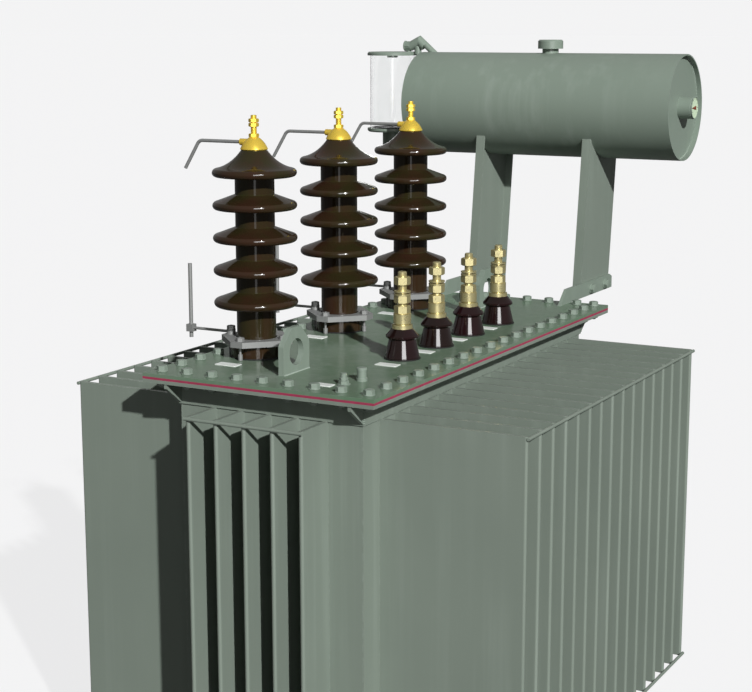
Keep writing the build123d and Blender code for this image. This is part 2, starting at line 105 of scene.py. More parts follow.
def math_node(tree, operation, first, second):
    """A math node. Each operand is a socket or a number."""
    node = add_node(tree, "ShaderNodeMath", operation=operation)
    for slot, value in enumerate((first, second)):
        if isinstance(value, bpy.types.NodeSocket):
            link(tree, value, node.inputs[slot])
        else:
            node.inputs[slot].default_value = value
    return node.outputs[0]


def seen_by_eye(tree):
    """One for what is seen straight or through glass, and nought for reflections and light."""
    path = add_node(tree, "ShaderNodeLightPath")
    return math_node(tree, "MAXIMUM", path.outputs["Is Camera Ray"], path.outputs["Is Transmission Ray"])


print("node helpers ready")

# %% [markdown]
# A picture of a real sky would bring its own scenery into every reflection, so this sky is one even
# tone that answers each kind of ray by itself. The eye sees a pale backdrop, which adds no light. Brass
# and glaze mirror a darker room, and the light that falls on the shaded sides is dimmer still.

# %% Sky
SKY_LIGHT = 0.09
SKY_MIRRORED = 0.26
BACKDROP = (0.90, 0.90, 0.905, 1)

world = bpy.data.worlds.new("studio_sky")
world.use_nodes = True
tree = world.node_tree
tree.nodes.clear()
lighting = add_node(tree, "ShaderNodeBackground")
lighting.inputs["Color"].default_value = (1, 1, 1, 1)
mirrored = add_node(tree, "ShaderNodeLightPath").outputs["Is Glossy Ray"]
strength = math_node(tree, "MULTIPLY", mirrored, SKY_MIRRORED - SKY_LIGHT)
link(tree, math_node(tree, "ADD", strength, SKY_LIGHT), lighting.inputs["Strength"])
shown = add_node(tree, "ShaderNodeBackground")
shown.inputs["Color"].default_value = BACKDROP
choose = add_node(tree, "ShaderNodeMixShader")
link(tree, seen_by_eye(tree), choose.inputs[0])
link(tree, lighting.outputs[0], choose.inputs[1])
link(tree, shown.outputs[0], choose.inputs[2])
link(tree, choose.outputs[0], add_node(tree, "ShaderNodeOutputWorld").inputs["Surface"])
scene.world = world
print("sky light", SKY_LIGHT)

# %% [markdown]
# One sun does the modelling. It comes over the camera's right shoulder, high enough for the cover's rim
# to throw its dark band on the tank. Its disc is wider than the real one, which softens the edges of
# the shadows by a few millimetres.

# %% Sun
SUN_STRENGTH = 4.3
SUN_SIZE = math.radians(1.3)
sun_travel = Vector((1.0, 1.206, -0.84))

sun_light = bpy.data.lights.new("sun", "SUN")
sun_light.energy = SUN_STRENGTH
sun_light.angle = SUN_SIZE
sun = bpy.data.objects.new("sun", sun_light)
scene.collection.objects.link(sun)
sun.matrix_world = sun_travel.to_track_quat("-Z", "Y").to_matrix().to_4x4()
sun_height = -sun_travel.normalized().z
print("the sun stands", round(math.degrees(math.asin(sun_height))), "degrees up")

# %% [markdown]
# Glossy things show what stands around them. Two bright cards behind the camera give round metal its
# dark edges and glaze its clear upright highlights. Area lamps serve as cards, because their size and
# their light are set apart from each other. The high card is for reflections alone.

# %% Cards
def card(name, place, width, height, light):
    """A bright upright rectangle that faces the transformer, with a given radiance."""
    lamp = bpy.data.lights.new(name, "AREA")
    lamp.shape = "RECTANGLE"
    lamp.size = width
    lamp.size_y = height
    lamp.energy = light * math.pi * width * height
    holder = bpy.data.objects.new(name, lamp)
    scene.collection.objects.link(holder)
    look = Vector((-place.x, -place.y, 0))
    holder.matrix_world = Matrix.Translation(place) @ look.to_track_quat("-Z", "Y").to_matrix().to_4x4()
    return holder


low_card = card("low_card", Vector((-4.1, -2.4, 1.0)), width=0.9, height=1.8, light=1.8)
high_card = card("high_card", Vector((-3.9, -3.3, 2.6)), width=2.4, height=2.2, light=16.0)
high_card.visible_diffuse = False
print("cards", low_card.name, high_card.name)

# %% [markdown]
# The sun leaves the two far sides in shade. A wide, weak sun from behind opens them for whoever walks
# round the machine. It is kept out of reflections, so it puts no second highlight on brass and glaze.

# %% Fill from behind
FILL_STRENGTH = 1.7
FILL_SIZE = math.radians(50)
fill_travel = Vector((-1.0, -1.1, -0.28))

fill_light = bpy.data.lights.new("fill", "SUN")
fill_light.energy = FILL_STRENGTH
fill_light.angle = FILL_SIZE
fill = bpy.data.objects.new("fill", fill_light)
scene.collection.objects.link(fill)
fill.matrix_world = fill_travel.to_track_quat("-Z", "Y").to_matrix().to_4x4()
fill.visible_glossy = False
fill_height = -fill_travel.normalized().z
print("the fill lights the two far sides")

# %% [markdown]
# The floor is plain matt paper that reaches far beyond the picture. It has to match the backdrop where
# it is lit and still take the machine's shadow. So it glows by exactly what the lamps don't give it.

# %% Floor
FLOOR_SIZE = 400.0
FLOOR_GREY = 0.13

bpy.ops.object.select_all(action="DESELECT")
bpy.ops.mesh.primitive_plane_add(size=FLOOR_SIZE, location=(0, 0, 0))
floor = bpy.context.object
floor.name = "studio_floor"
paper = bpy.data.materials.new("floor_paper")
paper.use_nodes = True
tree = paper.node_tree
tree.nodes.clear()
matt = add_node(tree, "ShaderNodeBsdfDiffuse")
matt.inputs["Color"].default_value = (FLOOR_GREY, FLOOR_GREY, FLOOR_GREY, 1)
glow = add_node(tree, "ShaderNodeEmission")
lit = FLOOR_GREY * (SKY_LIGHT + (SUN_STRENGTH * sun_height + FILL_STRENGTH * fill_height) / math.pi)
glow.inputs["Color"].default_value = [tone - lit for tone in BACKDROP[:3]] + [1]
link(tree, seen_by_eye(tree), glow.inputs["Strength"])
both = add_node(tree, "ShaderNodeAddShader")
link(tree, matt.outputs[0], both.inputs[0])
link(tree, glow.outputs[0], both.inputs[1])
link(tree, both.outputs[0], add_node(tree, "ShaderNodeOutputMaterial").inputs["Surface"])
floor.data.materials.append(paper)
print("the floor's own share of its tone is", round(lit, 2))

# %% [markdown]
# Five effects are shared by the finishes, so each is built once as a node group. Edges come from
# comparing the rounded normal of the Bevel node with the true one; they carry wear on paint and metal,
# and a painted reflection on the brown glaze. Blotches are slow noise, as in sprayed enamel, and on the
# cover they also place a painted reflection. Runs are noise stretched along Z, for what rain leaves on
# a wall. Dust is found where a face looks up. Tool marks are noise in thin layers, as a lathe leaves
# them. Painted pictures could do the same, but noise has no seams and follows any shape.

# %% Groups: the frame of a node group
def new_group(name, inputs, outputs):
    """A node group with named number inputs and named outputs."""
    group = bpy.data.node_groups.new(name, "ShaderNodeTree")
    for label, default in inputs:
        socket = group.interface.new_socket(label, in_out="INPUT", socket_type="NodeSocketFloat")
        socket.default_value = default
    for label in outputs:
        group.interface.new_socket(label, in_out="OUTPUT", socket_type="NodeSocketFloat")
    return group, add_node(group, "NodeGroupInput"), add_node(group, "NodeGroupOutput")


def noise(tree, vector, scale, detail=4.0, rough=0.55):
    """Noise whose scale is a number or a socket."""
    node = add_node(tree, "ShaderNodeTexNoise")
    link(tree, vector, node.inputs["Vector"])
    if isinstance(scale, bpy.types.NodeSocket):
        link(tree, scale, node.inputs["Scale"])
    else:
        node.inputs["Scale"].default_value = scale
    node.inputs["Detail"].default_value = detail
    node.inputs["Roughness"].default_value = rough
    return node.outputs["Fac"]


def stretch(tree, value, low, high):
    """Maps low to 0 and high to 1, and keeps what lies outside at the ends."""
    node = add_node(tree, "ShaderNodeMapRange")
    link(tree, value, node.inputs["Value"])
    node.inputs["From Min"].default_value = low
    node.inputs["From Max"].default_value = high
    return node.outputs["Result"]


def scaled(tree, vector, factors):
    """A vector whose parts are multiplied by three numbers."""
    node = add_node(tree, "ShaderNodeMapping", vector_type="POINT")
    link(tree, vector, node.inputs["Vector"])
    node.inputs["Scale"].default_value = factors
    return node.outputs["Vector"]


print("group helpers ready")

# %% Group: edges, for wear and a painted reflection
edge_group, inside, outside = new_group("edge_wear_and_reflection", [("Radius", 0.0015), ("Grain", 90.0)], ["Edge"])
true_normal = add_node(edge_group, "ShaderNodeNewGeometry").outputs["Normal"]
rounded = add_node(edge_group, "ShaderNodeBevel", samples=4)
link(edge_group, inside.outputs["Radius"], rounded.inputs["Radius"])
agree = add_node(edge_group, "ShaderNodeVectorMath", operation="DOT_PRODUCT")
link(edge_group, rounded.outputs["Normal"], agree.inputs[0])
link(edge_group, true_normal, agree.inputs[1])
edge = stretch(edge_group, agree.outputs["Value"], 0.995, 0.86)
place = add_node(edge_group, "ShaderNodeTexCoord").outputs["Object"]
broken = stretch(edge_group, noise(edge_group, place, inside.outputs["Grain"]), 0.42, 0.62)
link(edge_group, math_node(edge_group, "MULTIPLY", edge, broken), outside.inputs["Edge"])
print("built", edge_group.name)

# %% Group: blotches of sprayed enamel
spray_group, inside, outside = new_group(
    "sprayed_enamel", [("Cloud size", 3.0), ("Peel size", 700.0)], ["Cloud", "Speck", "Peel"])
place = add_node(spray_group, "ShaderNodeTexCoord").outputs["Object"]
cloud = noise(spray_group, place, inside.outputs["Cloud size"], 5.0, 0.5)
link(spray_group, stretch(spray_group, cloud, 0.3, 0.7), outside.inputs["Cloud"])
speck = noise(spray_group, place, 260.0, 2.0)
link(spray_group, stretch(spray_group, speck, 0.66, 0.74), outside.inputs["Speck"])
link(spray_group, noise(spray_group, place, inside.outputs["Peel size"], 1.0), outside.inputs["Peel"])
print("built", spray_group.name)

# %% Group: rain runs
rain_group, inside, outside = new_group("rain_runs", [("Width", 34.0)], ["Runs"])
place = add_node(rain_group, "ShaderNodeTexCoord").outputs["Object"]
fine = noise(rain_group, scaled(rain_group, place, (1, 1, 0.035)), inside.outputs["Width"], 3.0, 0.6)
patch = noise(rain_group, place, 2.2, 2.0)
streaks = stretch(rain_group, fine, 0.48, 0.75)
patches = stretch(rain_group, patch, 0.35, 0.7)
link(rain_group, math_node(rain_group, "MULTIPLY", streaks, patches), outside.inputs["Runs"])
print("built", rain_group.name)

# %% Group: dust on what looks up
dust_group, inside, outside = new_group("settled_dust", [("Grain", 45.0)], ["Dust"])
normal = add_node(dust_group, "ShaderNodeNewGeometry").outputs["Normal"]
parts = add_node(dust_group, "ShaderNodeSeparateXYZ")
link(dust_group, normal, parts.inputs[0])
place = add_node(dust_group, "ShaderNodeTexCoord").outputs["Object"]
grain = stretch(dust_group, noise(dust_group, place, inside.outputs["Grain"], 6.0, 0.7), 0.35, 0.75)
up = stretch(dust_group, parts.outputs["Z"], 0.55, 0.98)
link(dust_group, math_node(dust_group, "MULTIPLY", up, grain), outside.inputs["Dust"])
print("built", dust_group.name)

# %% Group: tool marks of turned metal
lathe_group, inside, outside = new_group("lathe_marks", [("Pitch", 1.0)], ["Rings", "Stain"])
place = add_node(lathe_group, "ShaderNodeTexCoord").outputs["Object"]
layers = scaled(lathe_group, place, (0.02, 0.02, 1))
ring_scale = math_node(lathe_group, "DIVIDE", 2600.0, inside.outputs["Pitch"])
link(lathe_group, noise(lathe_group, layers, ring_scale, 2.0), outside.inputs["Rings"])
blots = noise(lathe_group, place, 60.0, 5.0, 0.65)
link(lathe_group, stretch(lathe_group, blots, 0.4, 0.75), outside.inputs["Stain"])
print("built", lathe_group.name)

# %% [markdown]
# Every finish is one Principled shader that is fed by the groups. Even values are set on the shader
# itself, and only what varies over the surface gets nodes: the colour, the roughness and the bump.

# %% Helpers for materials
def group_node(tree, group, **values):
    """Places a shared group in a material, with its own numbers."""
    node = add_node(tree, "ShaderNodeGroup", node_tree=group)
    for label, value in values.items():
        node.inputs[label].default_value = value
    return node.outputs


def blend_colour(tree, factor, first, second):
    """A mix of two colours. Each is a socket or four numbers."""
    node = add_node(tree, "ShaderNodeMix", data_type="RGBA")
    link(tree, factor, node.inputs["Factor"])
    for slot, value in ((6, first), (7, second)):
        if isinstance(value, bpy.types.NodeSocket):
            link(tree, value, node.inputs[slot])
        else:
            node.inputs[slot].default_value = value
    return node.outputs[2]


def laid_over(tree, under, over, mask, share):
    """Lays one colour over another where a mask is high, up to a given share."""
    return blend_colour(tree, math_node(tree, "MULTIPLY", mask, share), under, over)


def new_material(name, specular=0.5):
    """A material with one Principled shader."""
    material = bpy.data.materials.new(name)
    material.use_nodes = True
    tree = material.node_tree
    tree.nodes.clear()
    shader = add_node(tree, "ShaderNodeBsdfPrincipled")
    shader.inputs["Specular IOR Level"].default_value = specular
    link(tree, shader.outputs[0], add_node(tree, "ShaderNodeOutputMaterial").inputs["Surface"])
    return material, tree, shader


def bump(tree, shader, height, strength, distance):
    """Feeds a height into the shader's normal."""
    node = add_node(tree, "ShaderNodeBump")
    node.inputs["Strength"].default_value = strength
    node.inputs["Distance"].default_value = distance
    link(tree, height, node.inputs["Height"])
    link(tree, node.outputs["Normal"], shader.inputs["Normal"])


def roughness_from(tree, shader, value, low, high):
    """Lets a value between 0 and 1 move the roughness between two numbers."""
    node = add_node(tree, "ShaderNodeMapRange")
    link(tree, value, node.inputs["Value"])
    node.inputs["To Min"].default_value = low
    node.inputs["To Max"].default_value = high
    link(tree, node.outputs["Result"], shader.inputs["Roughness"])


print("material helpers ready")

# %% [markdown]
# The tank and its uprights are sprayed with satin grey green enamel. Its colour wanders a little, rain
# has left paler runs down the walls, dust lies on what looks up, and the film is rubbed thin and pale
# along its edges. The drum is given a slightly lighter tone. The cover is darker and glossier, because
# it is wiped when the oil is filled, and the greener deep tone of its clouds is a painted reflection.
# One flat colour would look like plastic, so each trace is laid over the last one with a share of its
# own.

# %% Enamels
RUN_SHARE = 0.30
SPECK_SHARE = 0.25
DUST_SHARE = 0.30
WEAR_SHARE = 0.55
PAINT_EDGE = 0.0012


def enamel(name, base, deep_tone_and_reflection, pale, dust, rough, specular):
    """Sprayed paint: base and deep tone in clouds, pale worn edges, rain runs and dust; on the cover the
    greener deep tone is a painted reflection.
    """
    material, tree, shader = new_material(name, specular=specular)
    spray = group_node(tree, spray_group)
    runs = group_node(tree, rain_group)["Runs"]
    settled = group_node(tree, dust_group)["Dust"]
    edges = group_node(tree, edge_group, Radius=PAINT_EDGE)["Edge"]
    colour = blend_colour(tree, spray["Cloud"], base, deep_tone_and_reflection)
    colour = laid_over(tree, colour, pale, runs, RUN_SHARE)
    colour = laid_over(tree, colour, deep_tone_and_reflection, spray["Speck"], SPECK_SHARE)
    colour = laid_over(tree, colour, dust, settled, DUST_SHARE)
    colour = laid_over(tree, colour, pale, edges, WEAR_SHARE)
    link(tree, colour, shader.inputs["Base Color"])
    mottled = math_node(tree, "ADD", math_node(tree, "MULTIPLY", spray["Cloud"], 0.5),
                        math_node(tree, "MULTIPLY", settled, 0.5))
    roughness_from(tree, shader, mottled, rough, rough + 0.18)
    bump(tree, shader, spray["Peel"], 0.10, 0.0006)
    return material


tank_enamel = enamel(
    "tank_enamel", base=(0.197, 0.235, 0.197, 1), deep_tone_and_reflection=(0.172, 0.208, 0.174, 1),
    pale=(0.34, 0.40, 0.35, 1), dust=(0.28, 0.30, 0.26, 1), rough=0.42, specular=0.35)
drum_enamel = enamel(
    "drum_enamel", base=(0.215, 0.265, 0.220, 1), deep_tone_and_reflection=(0.190, 0.240, 0.196, 1),
    pale=(0.36, 0.42, 0.37, 1), dust=(0.24, 0.27, 0.23, 1), rough=0.36, specular=0.35)
# On the cover the greener deep tone, in clouds and specks, is a painted reflection.
cover_enamel = enamel(
    "cover_enamel", base=(0.150, 0.205, 0.150, 1), deep_tone_and_reflection=(0.110, 0.190, 0.115, 1),
    pale=(0.28, 0.34, 0.29, 1), dust=(0.22, 0.25, 0.21, 1), rough=0.12, specular=0.12)
print("enamels", tank_enamel.name, drum_enamel.name, cover_enamel.name)

# %% [markdown]
# Porcelain is clay under a thick brown glaze. The glaze is glass, so it is glossy and a little uneven
# where it ran before firing, and paler where it is thin on an edge. On the brown glaze the olive of the
# edges and of the slow clouds is a painted reflection. The colour comes from slow noise and from the
# edges, so it stays where it is when the viewer walks round.

# %% Porcelain glazes
EDGE_TONE_SHARE = 0.6


def glaze(name, thick, thin_edge_and_reflection, tint_and_reflection, rough, specular):
    """Fired glaze: a thick tone, a thinner one on edges, and a tint in slow clouds; on the brown glaze the
    olive edges and clouds are a painted reflection.
    """
    material, tree, shader = new_material(name, specular=specular)
    place = add_node(tree, "ShaderNodeTexCoord").outputs["Object"]
    edges = group_node(tree, edge_group, Radius=0.004, Grain=24.0)["Edge"]
    flow = noise(tree, scaled(tree, place, (1, 1, 0.25)), 18.0, 3.0)
    cloud = stretch(tree, flow, 0.38, 0.66)
    colour = laid_over(tree, blend_colour(tree, cloud, thick, tint_and_reflection), thin_edge_and_reflection, edges, EDGE_TONE_SHARE)
    link(tree, colour, shader.inputs["Base Color"])
    roughness_from(tree, shader, cloud, rough, rough + 0.06)
    shader.inputs["Coat Weight"].default_value = 0.12
    shader.inputs["Coat Roughness"].default_value = 0.04
    bump(tree, shader, flow, 0.12, 0.002)
    return material


# On the brown glaze the olive edge tone and the olive tint of the slow clouds are a painted reflection.
brown_glaze = glaze(
    "brown_glaze", thick=(0.032, 0.015, 0.008, 1), thin_edge_and_reflection=(0.032, 0.040, 0.009, 1),
    tint_and_reflection=(0.024, 0.020, 0.007, 1), rough=0.07, specular=0.26)
maroon_glaze = glaze(
    "maroon_glaze", thick=(0.015, 0.005, 0.006, 1), thin_edge_and_reflection=(0.035, 0.014, 0.012, 1),
    tint_and_reflection=(0.010, 0.005, 0.004, 1), rough=0.06, specular=0.40)
print("glazes", brown_glaze.name, maroon_glaze.name)

# %% [markdown]
# The caps and studs of the bushings are turned brass, and the clamp rings are zinc plated steel. A
# metallic value below one stands for the dull skin that both have outdoors. Real tool grooves would
# need millions of faces, so they are a fine bump, and a patchy stain breaks up the gloss.

# %% Metals
STAIN_SHARE = 0.45


def metal(name, base, stain, rough, metallic):
    """Bare metal with fine tool rings, a patchy stain and brighter rubbed edges."""
    material, tree, shader = new_material(name)
    marks = group_node(tree, lathe_group)
    edges = group_node(tree, edge_group, Radius=0.0006, Grain=160.0)["Edge"]
    bright = tuple(min(1.0, 1.35 * c) for c in base[:3]) + (1,)
    colour = laid_over(tree, base, stain, marks["Stain"], STAIN_SHARE)
    colour = laid_over(tree, colour, bright, edges, EDGE_TONE_SHARE)
    link(tree, colour, shader.inputs["Base Color"])
    shader.inputs["Metallic"].default_value = metallic
    roughness_from(tree, shader, marks["Stain"], rough, rough + 0.16)
    bump(tree, shader, marks["Rings"], 0.05, 0.0002)
    return material


gold_brass = metal(
    "gold_brass", base=(1.0, 0.72, 0.10, 1), stain=(0.92, 0.58, 0.05, 1), rough=0.22, metallic=0.62)
pale_brass = metal(
    "pale_brass", base=(0.62, 0.55, 0.29, 1), stain=(0.48, 0.41, 0.19, 1), rough=0.26, metallic=0.72)
zinc_steel = metal(
    "zinc_steel", base=(0.225, 0.23, 0.225, 1), stain=(0.165, 0.17, 0.165, 1), rough=0.48, metallic=0.2)
print("metals", gold_brass.name, pale_brass.name, zinc_steel.name)

# %% [markdown]
# The gasket is crimson rubber and the lips under the bushings are black rubber. The small plates, the
# dial and its needle are painted sheet. All of them are matt, with a fine grain and a faint bloom, so
# one recipe with a few tones makes them all.

# %% Rubbers and plain coats
def matt_coat(name, base, bloomed, smooth=0.55):
    """Rubber or baked paint: one tone with a fine grain and a faint bloom."""
    material, tree, shader = new_material(name, specular=0.25)
    place = add_node(tree, "ShaderNodeTexCoord").outputs["Object"]
    bloom = stretch(tree, noise(tree, place, 40.0, 4.0), 0.35, 0.7)
    link(tree, blend_colour(tree, bloom, base, bloomed), shader.inputs["Base Color"])
    roughness_from(tree, shader, bloom, smooth, smooth + 0.2)
    bump(tree, shader, noise(tree, place, 900.0, 2.0), 0.2, 0.0004)
    return material


red_rubber = matt_coat("red_rubber", (0.33, 0.035, 0.085, 1), (0.27, 0.028, 0.065, 1))
black_rubber = matt_coat("black_rubber", (0.012, 0.012, 0.012, 1), (0.02, 0.02, 0.02, 1))
plate_white = matt_coat("plate_white", (0.80, 0.83, 0.80, 1), (0.72, 0.76, 0.72, 1), smooth=0.3)
dial_white = matt_coat("dial_white", (0.62, 0.76, 0.55, 1), (0.55, 0.69, 0.49, 1), smooth=0.3)
needle_red = matt_coat("needle_red", (0.22, 0.05, 0.025, 1), (0.17, 0.04, 0.02, 1), smooth=0.4)
print("coats", red_rubber.name, black_rubber.name, plate_white.name, dial_white.name, needle_red.name)

# %% [markdown]
# The breather is a tube of clear glass. A mix with a transparent shader would show the parts inside as
# well, but without the bright rims that bent light gives a tube. So the shader transmits in full, and a
# thin haze keeps the tube from looking like air.

# %% Glass
clear_glass, tree, shader = new_material("clear_glass")
shader.inputs["Transmission Weight"].default_value = 1.0
shader.inputs["IOR"].default_value = 1.45
place = add_node(tree, "ShaderNodeTexCoord").outputs["Object"]
haze = stretch(tree, noise(tree, place, 30.0, 4.0), 0.45, 0.8)
tinted = blend_colour(tree, haze, (0.985, 0.99, 0.988, 1), (0.94, 0.955, 0.95, 1))
link(tree, tinted, shader.inputs["Base Color"])
roughness_from(tree, shader, haze, 0.02, 0.10)
print("glass", clear_glass.name)

# %% [markdown]
# Each CAD piece takes the finish of its slot in the record, so a piece added to the CAD later is
# dressed as well. The drum, its fittings and the small steel parts on the cover take the lighter tone,
# and are listed by name.

# %% Finish of the CAD pieces
finish_of_slot = {
    "tank_paint": tank_enamel,
    "cover_paint": cover_enamel,
    "red_rubber": red_rubber,
    "brown_porcelain": brown_glaze,
    "dark_porcelain": maroon_glaze,
    "gold_brass": gold_brass,
    "pale_brass": pale_brass,
    "zinc_steel": zinc_steel,
    "clear_glass": clear_glass,
    "gauge_body": tank_enamel,
}
own_finish = {
    "conservator_shell": drum_enamel,
    "conservator_end_plates": drum_enamel,
    "filler_cap": drum_enamel,
    "breather_fittings": drum_enamel,
    "breather_neck": drum_enamel,
    "level_gauge": drum_enamel,
    "lifting_lugs": drum_enamel,
    "support_brackets": drum_enamel,
    "earth_terminal": drum_enamel,
    "thermometer_pocket": drum_enamel,
}
slot_of_node = {part["node"]: part["material_slot"] for part in frame["record"]["subparts"]}
for name, piece in nodes.items():
    piece.data.materials.clear()
    piece.data.materials.append(own_finish.get(name, finish_of_slot[slot_of_node[name]]))
print("finished", len(nodes), "CAD pieces")

# %% [markdown]
# Everything below is small hardware that a drawing leaves to the parts list. Each kind is modelled
# once near the origin, by primitives and edit mode, and then copied to its places. A handful of helpers
# does what the mouse would do: clear the selection, pick faces or edges by where they are, and join.

# %% Helpers for modelling
SMOOTH_ANGLE = math.radians(35)


def begin():
    """Leaves nothing selected, so that the next operator acts on its own piece only."""
    bpy.ops.object.select_all(action="DESELECT")


def edit_mode(on):
    """Goes into edit mode or back out of it."""
    bpy.ops.object.mode_set(mode="EDIT" if on else "OBJECT")


def pick(kind, test):
    """In edit mode, selects the faces by middle and normal, or the edges by their middle."""
    bpy.ops.mesh.select_mode(type=kind)
    bpy.ops.mesh.select_all(action="DESELECT")
    shape = bmesh.from_edit_mesh(bpy.context.object.data)
    for part in shape.faces if kind == "FACE" else shape.edges:
        if kind == "FACE":
            chosen = test(part.calc_center_median(), part.normal)
        else:
            chosen = test((part.verts[0].co + part.verts[1].co) / 2)
        part.select_set(chosen)
    bmesh.update_edit_mesh(bpy.context.object.data)


def settle(piece):
    """Puts a piece's place, turn and size into its mesh."""
    begin()
    piece.select_set(True)
    bpy.context.view_layer.objects.active = piece
    bpy.ops.object.transform_apply(location=True, rotation=True, scale=True)
    return piece


def joined(*parts):
    """Joins parts into the first of them."""
    begin()
    for part in parts:
        part.select_set(True)
    bpy.context.view_layer.objects.active = parts[0]
    bpy.ops.object.join()
    return bpy.context.object


def copied(model, places):
    """Copies a model to a list of matrices, each copy with its own mesh, and joins the copies."""
    copies = []
    for place in places:
        copy = model.copy()
        copy.data = model.data.copy()
        copy.data.transform(place)
        scene.collection.objects.link(copy)
        copies.append(copy)
    bpy.data.objects.remove(model)
    return joined(*copies)


def done(piece, name, material):
    """Names a finished piece, smooths it, gives it its finish and lets it ride on the transformer."""
    settle(piece)
    bpy.ops.object.shade_smooth_by_angle(angle=SMOOTH_ANGLE)
    piece.name = name
    piece.data.materials.clear()
    piece.data.materials.append(material)
    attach(piece, "root")
    print(name, "has", len(piece.data.polygons), "faces")


print("modelling helpers ready")

# %% [markdown]
# Washers, caps, rubber lips and screw ends are turned parts. A lathe cuts them from a bar, and two
# helpers stand in for it: a disc, and a ring whose wall comes from a Solidify modifier. Every rim gets a
# small bevel, because an edge without one never catches the light.

# %% Helpers for turned shapes
RIM_SHARE = 0.99
RING_SIDES = 48


def soften(test, edge):
    """Bevels the edges of the active piece whose middle passes a test."""
    edit_mode(True)
    pick("EDGE", test)
    bpy.ops.mesh.bevel(offset=edge, segments=1, affect="EDGES")
    edit_mode(False)


def disc(radius, low, high, sides, edge):
    """A turned disc between two levels, with both rims bevelled."""
    begin()
    bpy.ops.mesh.primitive_cylinder_add(
        vertices=sides, radius=radius, depth=high - low, location=(0, 0, (low + high) / 2))
    rim = (high - low) / 2 * RIM_SHARE
    soften(lambda place: abs(place.z) > rim, edge)
    return settle(bpy.context.object)


def ring(inner, outer, low, high, edge):
    """A flat ring between two levels: an open tube with a wall added, its outer rims bevelled."""
    begin()
    bpy.ops.mesh.primitive_cylinder_add(
        vertices=RING_SIDES, radius=outer, depth=high - low, end_fill_type="NOTHING",
        location=(0, 0, (low + high) / 2))
    piece = bpy.context.object
    wall = piece.modifiers.new("wall", "SOLIDIFY")
    wall.thickness = outer - inner
    wall.offset = -1
    bpy.ops.object.modifier_apply(modifier=wall.name)
    rim = (high - low) / 2 * RIM_SHARE
    soften(lambda place: abs(place.z) > rim and place.xy.length > (inner + outer) / 2, edge)
    return settle(piece)


print("turned shapes ready")

# %% [markdown]
# A hexagon nut is a six sided bar whose corners are turned off on a lathe. It is made that way here: a
# six sided cylinder is cut, by a Boolean modifier, to a round blank with a tapered end. A plain bevel
# would follow the six edges instead and miss the curved lines that a real nut shows on its flats.

# %% Hexagon nut
FACE_SHARE = 0.95
REACH_SHARE = 0.6
CORNER_SLOPE = math.tan(math.radians(30))


def taper(up, rise, share):
    """In edit mode, draws the upper or the lower end face out along Z and narrows it."""
    pick("FACE", lambda place, normal: normal.z * up > 0.9)
    bpy.ops.mesh.extrude_region_move(TRANSFORM_OT_translate={"value": (0, 0, up * rise)})
    bpy.ops.transform.resize(value=(share, share, 1))


def hexagon(width, low, high, both_ends=False):
    """A hexagon head or nut on the Z axis, one flat towards -Y, with turned corners."""
    face = width / 2 * FACE_SHARE
    reach = width * REACH_SHARE
    bevel = (reach - face) * CORNER_SLOPE
    begin()
    bpy.ops.mesh.primitive_cylinder_add(
        vertices=6, radius=width / math.sqrt(3), depth=high - low, location=(0, 0, (low + high) / 2))
    bar = bpy.context.object
    bar.rotation_euler = (0, 0, math.radians(30))
    settle(bar)
    base = low + bevel if both_ends else low
    begin()
    bpy.ops.mesh.primitive_cylinder_add(
        vertices=24, radius=reach, depth=high - bevel - base, location=(0, 0, (base + high - bevel) / 2))
    blank = bpy.context.object
    edit_mode(True)
    taper(1, bevel, face / reach)
    if both_ends:
        taper(-1, bevel, face / reach)
    edit_mode(False)
    begin()
    bar.select_set(True)
    bpy.context.view_layer.objects.active = bar
    cut = bar.modifiers.new("turned_corners", "BOOLEAN")
    cut.operation = "INTERSECT"
    cut.object = blank
    bpy.ops.object.modifier_apply(modifier=cut.name)
    bpy.data.objects.remove(blank)
    return bar


print("hexagon nut ready")

# %% [markdown]
# A screw thread is one small tooth that climbs as it turns. The Screw modifier does exactly that with
# a three sided outline, and the ends are closed afterwards, so the thread is a solid of its own that is
# half sunk in the smooth stud.

# %% Screw thread
def thread(radius, low, high, pitch, depth, sides=20):
    """A helical tooth round the Z axis, sunk by half in a stud of the given radius."""
    begin()
    bpy.ops.mesh.primitive_circle_add(
        vertices=3, radius=depth, fill_type="NOTHING", location=(radius, 0, low + pitch / 2),
        rotation=(math.radians(90), math.radians(90), 0))
    tooth = settle(bpy.context.object)
    turns = tooth.modifiers.new("turns", "SCREW")
    turns.axis = "Z"
    turns.screw_offset = pitch
    turns.iterations = max(1, int((high - low) / pitch) - 1)
    turns.steps = sides
    turns.render_steps = sides
    bpy.ops.object.modifier_apply(modifier=turns.name)
    edit_mode(True)
    bpy.ops.mesh.select_all(action="SELECT")
    bpy.ops.mesh.fill_holes(sides=3)
    bpy.ops.mesh.select_all(action="SELECT")
    bpy.ops.mesh.normals_make_consistent(inside=False)
    edit_mode(False)
    return tooth


print("screw thread ready")

# %% [markdown]
# Hardware has to sit on its plate to a fraction of a millimetre. So the levels and the axes are read
# from the frame: the cover's top and edges, the underside of the flange, and the bushings' middles.

# %% Places
FLANGE_THICKNESS = 6 * MM

cover_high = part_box("tank_cover")[1]
deck = cover_high.z
rim_low, rim_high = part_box("tank_rim")
flange_under = rim_high.z - FLANGE_THICKNESS


def axis_of(name):
    """The middle of a piece, brought down to the floor."""
    low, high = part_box(name)
    return Vector(((low.x + high.x) / 2, (low.y + high.y) / 2, 0))


hv_axes = [axis_of("hv_porcelain_%d" % number) for number in (1, 2, 3)]
lv_axes = [axis_of("lv_porcelain_%d" % number) for number in (1, 2, 3, 4)]
hv_places = [Matrix.Translation(axis) for axis in hv_axes]
lv_places = [Matrix.Translation(axis) for axis in lv_axes]
print("deck at", round(deck, 4), "and", len(hv_axes) + len(lv_axes), "bushings")

